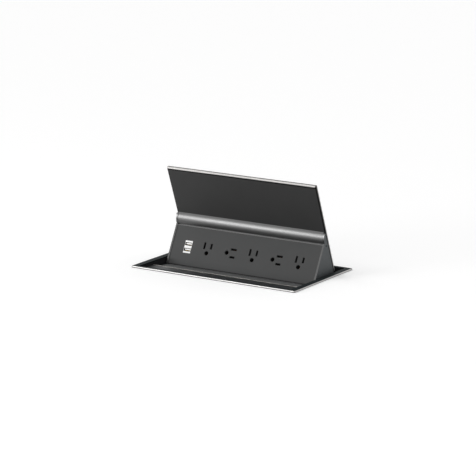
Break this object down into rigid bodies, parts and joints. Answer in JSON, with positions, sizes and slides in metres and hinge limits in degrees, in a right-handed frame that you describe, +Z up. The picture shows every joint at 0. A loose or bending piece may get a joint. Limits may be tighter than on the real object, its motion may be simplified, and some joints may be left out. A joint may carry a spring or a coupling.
{
  "type": "desk power unit",
  "caption": "Flip-up desk power unit: a lid and an angled fascia with mains outlets and USB ports swing up out of a flanged tub set in a desk.",
  "frame": {"origin": "centre of the desk cut-out, on the desk's surface under the flange", "axes": "+Z up out of the desk, +X along the unit to the user's right, -Y towards the user"},
  "size_m": [0.344, 0.176, 0.2616],
  "materials": {
    "frame_coat": "satin dark grey powder coat",
    "seal_foam": "closed cell foam",
    "tub_plastic": "moulded black",
    "tub_steel": "black coated sheet",
    "shelf_coat": "satin dark grey",
    "bumper_rubber": "soft black",
    "screw_steel": "zinc plated",
    "bracket_zinc": "zinc plated sheet",
    "gland_plastic": "black nylon",
    "lid_coat": "satin charcoal",
    "liner_coat": "satin charcoal",
    "ridge_metal": "satin anodised",
    "fascia_coat": "satin graphite",
    "rail_metal": "satin anodised",
    "cover_steel": "black coated sheet",
    "end_plate_coat": "satin graphite",
    "pin_steel": "ground",
    "bush_acetal": "natural acetal",
    "socket_plastic": "black thermoplastic",
    "contact_brass": "spring brass",
    "usb_plastic": "white",
    "usb_metal": "nickel plated",
    "usb_tongue_plastic": "white",
    "board_laminate": "green laminate",
    "terminal_plastic": "grey polyamide",
    "jack_steel": "zinc plated"
  },
  "bodies": {
    "housing": {"bezel_frame": "frame_coat", "frame_gasket": "seal_foam", "side_plate_left": "tub_plastic", "side_plate_right": "tub_plastic", "front_wall": "tub_steel", "rear_wall": "tub_steel", "floor_tray": "tub_steel", "front_shelf": "shelf_coat", "lid_bumpers": "bumper_rubber", "tray_angles": "tub_steel", "frame_screws": "screw_steel", "tub_screws": "screw_steel", "bracket_screws": "screw_steel", "mounting_bracket_left": "bracket_zinc", "mounting_bracket_right": "bracket_zinc", "cable_gland": "gland_plastic", "gland_nut": "gland_plastic"},
    "flip_unit": {"lid_panel": "lid_coat", "lid_liner": "liner_coat", "ridge_bar": "ridge_metal", "fascia_plate": "fascia_coat", "lower_rail": "rail_metal", "rear_cover": "cover_steel", "end_screws": "screw_steel", "fascia_screws": "screw_steel", "end_plate_left": "end_plate_coat", "end_plate_right": "end_plate_coat", "guide_pins_left": "pin_steel", "guide_pins_right": "pin_steel", "guide_bushes_left": "bush_acetal", "guide_bushes_right": "bush_acetal", "receptacle_1": "socket_plastic", "receptacle_2": "socket_plastic", "receptacle_3": "socket_plastic", "receptacle_4": "socket_plastic", "receptacle_5": "socket_plastic", "hot_contacts": "contact_brass", "neutral_contacts": "contact_brass", "ground_contacts": "contact_brass", "usb_insert": "usb_plastic", "usb_shells": "usb_metal", "usb_tongues": "usb_tongue_plastic", "usb_board": "board_laminate", "terminal_block": "terminal_plastic", "terminal_screws": "screw_steel"},
    "jack_left": {"jack_screw_left": "jack_steel"},
    "jack_right": {"jack_screw_right": "jack_steel"}
  },
  "joints": [
    {"name": "lid_swing", "type": "hinge", "parent": "housing", "child": "flip_unit", "pos_m": [0, 0.0676, 0.02055], "axis": [1, 0, 0], "range_deg": [0, 69]},
    {"name": "jack_left_travel", "type": "slide", "parent": "housing", "child": "jack_left", "axis": [0, 0, 1], "range_m": [-0.014, 0.007]},
    {"name": "jack_right_travel", "type": "slide", "parent": "housing", "child": "jack_right", "axis": [0, 0, 1], "range_m": [-0.014, 0.007]}
  ]
}
